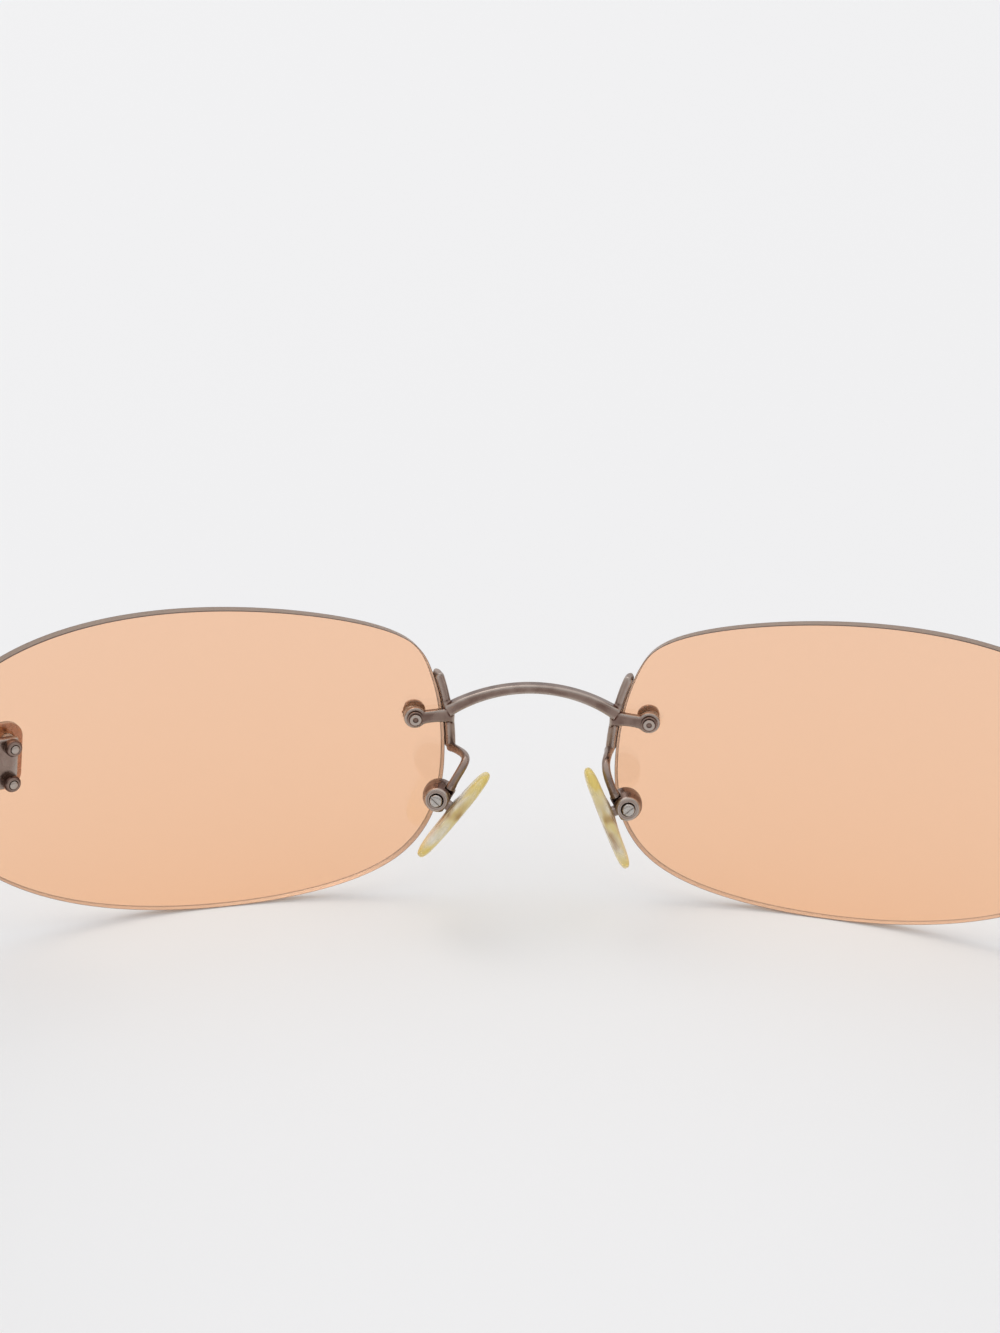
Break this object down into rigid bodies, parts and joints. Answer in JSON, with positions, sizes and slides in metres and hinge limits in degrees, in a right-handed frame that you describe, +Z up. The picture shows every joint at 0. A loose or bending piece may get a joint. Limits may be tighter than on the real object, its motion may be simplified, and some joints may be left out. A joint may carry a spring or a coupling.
{
  "type": "sunglasses",
  "caption": "Rimless sunglasses with long oval amber-pink lenses, a pewter bridge and folding temples.",
  "frame": {"origin": "point on the table under the middle of the glasses' bounding box, with the temples open", "axes": "+X towards the wearer's right, +Y forward, away from the wearer, +Z up"},
  "size_m": [0.1336, 0.1538, 0.0346],
  "materials": {
    "antique_pewter": "satin antique pewter plating, brown in the hollows",
    "bright_steel": "bright turned steel",
    "amber_lens": "polished, tinted through, clear to look through",
    "clear_nylon": "clear, moulded",
    "aged_silicone": "soft, translucent, yellowed",
    "brown_acetate": "polished, translucent brown"
  },
  "bodies": {
    "front": {"bridge_bar": "antique_pewter", "bridge_strap_right": "antique_pewter", "bridge_screw_right": "antique_pewter", "bridge_nut_right": "antique_pewter", "pad_arm_right": "antique_pewter", "pad_box_right": "antique_pewter", "plaque_right": "antique_pewter", "end_piece_right": "antique_pewter", "front_hinge_right": "antique_pewter", "bridge_strap_left": "antique_pewter", "bridge_screw_left": "antique_pewter", "bridge_nut_left": "antique_pewter", "pad_arm_left": "antique_pewter", "pad_box_left": "antique_pewter", "plaque_left": "antique_pewter", "end_piece_left": "antique_pewter", "front_hinge_left": "antique_pewter", "end_nut_right_upper": "antique_pewter", "end_nut_right_lower": "antique_pewter", "end_nut_left_upper": "antique_pewter", "end_nut_left_lower": "antique_pewter", "pad_screw_right": "bright_steel", "hinge_screw_right": "bright_steel", "pad_screw_left": "bright_steel", "hinge_screw_left": "bright_steel", "lens_right": "amber_lens", "lens_left": "amber_lens", "bridge_washer_right": "clear_nylon", "bridge_sleeve_right": "clear_nylon", "bridge_washer_left": "clear_nylon", "bridge_sleeve_left": "clear_nylon", "end_sleeve_right_upper": "clear_nylon", "end_sleeve_right_lower": "clear_nylon", "end_sleeve_left_upper": "clear_nylon", "end_sleeve_left_lower": "clear_nylon"},
    "temple_right": {"rear_hinge_right": "antique_pewter", "temple_right": "antique_pewter", "temple_tip_right": "brown_acetate"},
    "temple_left": {"rear_hinge_left": "antique_pewter", "temple_left": "antique_pewter", "temple_tip_left": "brown_acetate"},
    "pad_right": {"pad_core_right": "antique_pewter", "nose_pad_right": "aged_silicone"},
    "pad_left": {"pad_core_left": "antique_pewter", "nose_pad_left": "aged_silicone"}
  },
  "joints": [
    {"name": "temple_fold_right", "type": "hinge", "parent": "front", "child": "temple_right", "pos_m": [0.06345, 0.0512, 0.02177], "axis": [0, -0.129, -0.9916], "range_deg": [0, 87]},
    {"name": "temple_fold_left", "type": "hinge", "parent": "front", "child": "temple_left", "pos_m": [-0.06345, 0.0512, 0.02177], "axis": [0, 0.129, 0.9916], "range_deg": [0, 90]},
    {"name": "pad_rock_right", "type": "hinge", "parent": "front", "child": "pad_right", "pos_m": [0.01027, 0.06926, 0.01322], "axis": [0.0698, -0.9892, 0.1287], "range_deg": [-2, 19]},
    {"name": "pad_rock_left", "type": "hinge", "parent": "front", "child": "pad_left", "pos_m": [-0.00997, 0.06933, 0.01376], "axis": [0.2079, 0.97, -0.1262], "range_deg": [-15, 6]}
  ]
}
